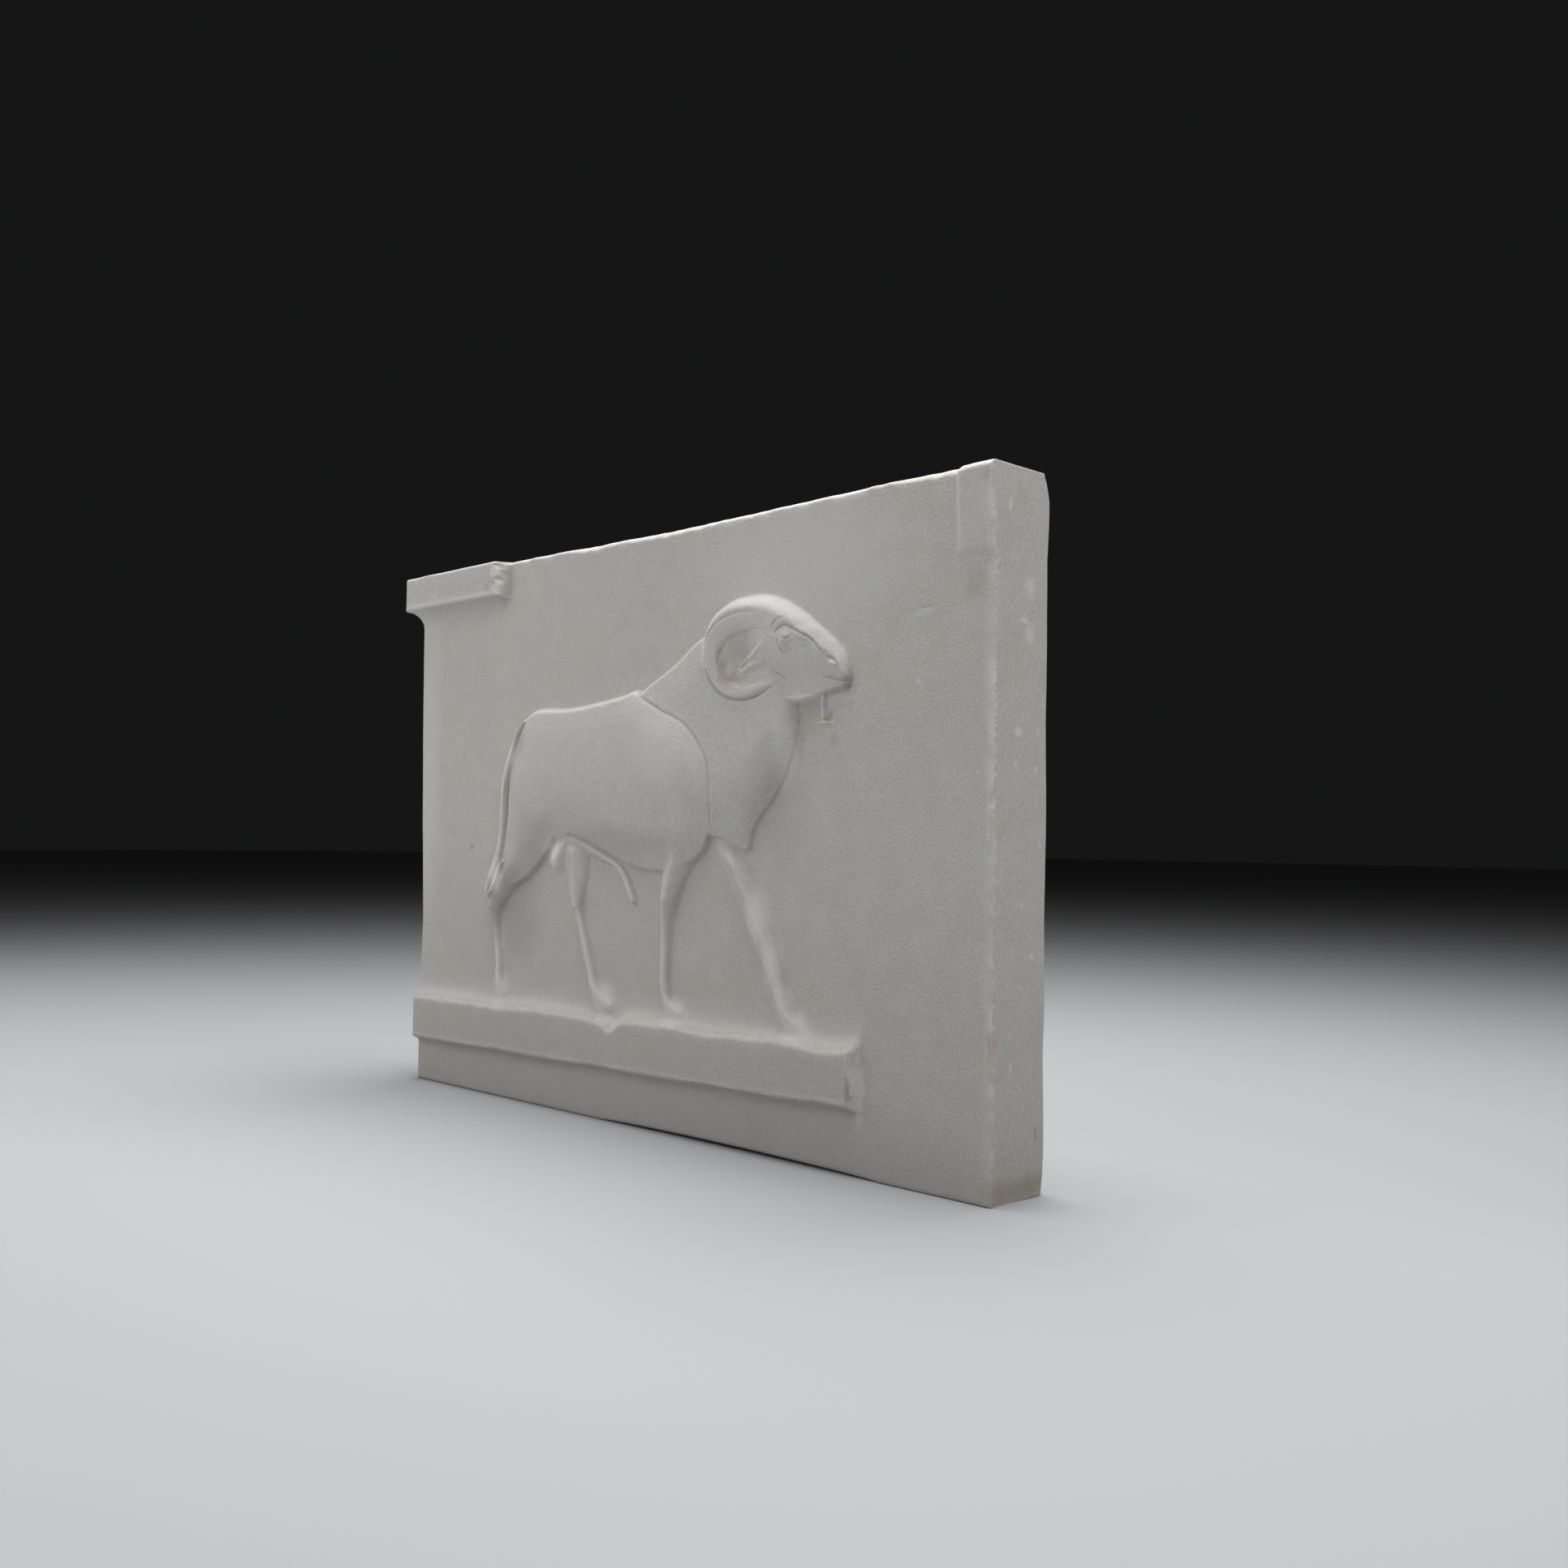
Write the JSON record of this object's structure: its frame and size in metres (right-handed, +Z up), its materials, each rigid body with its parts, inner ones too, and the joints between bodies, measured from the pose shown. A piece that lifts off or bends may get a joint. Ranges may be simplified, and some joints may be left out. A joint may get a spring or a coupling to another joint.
{
  "type": "plaster bas-relief",
  "caption": "Upright plaster plaque with a low relief of a ram walking right on a raised ledge; stands on its lower edge.",
  "frame": {"origin": "bottom centre of the plaque's bounding box, on the surface it stands on", "axes": "+X along the plaque in the direction the ram walks, +Y out of the flat back, +Z up; the carved face looks along -Y"},
  "size_m": [0.2348, 0.0248, 0.16],
  "materials": {
    "plaster": "matte"
  },
  "bodies": {
    "root": {"ram_relief_plaque": "plaster"}
  },
  "joints": []
}
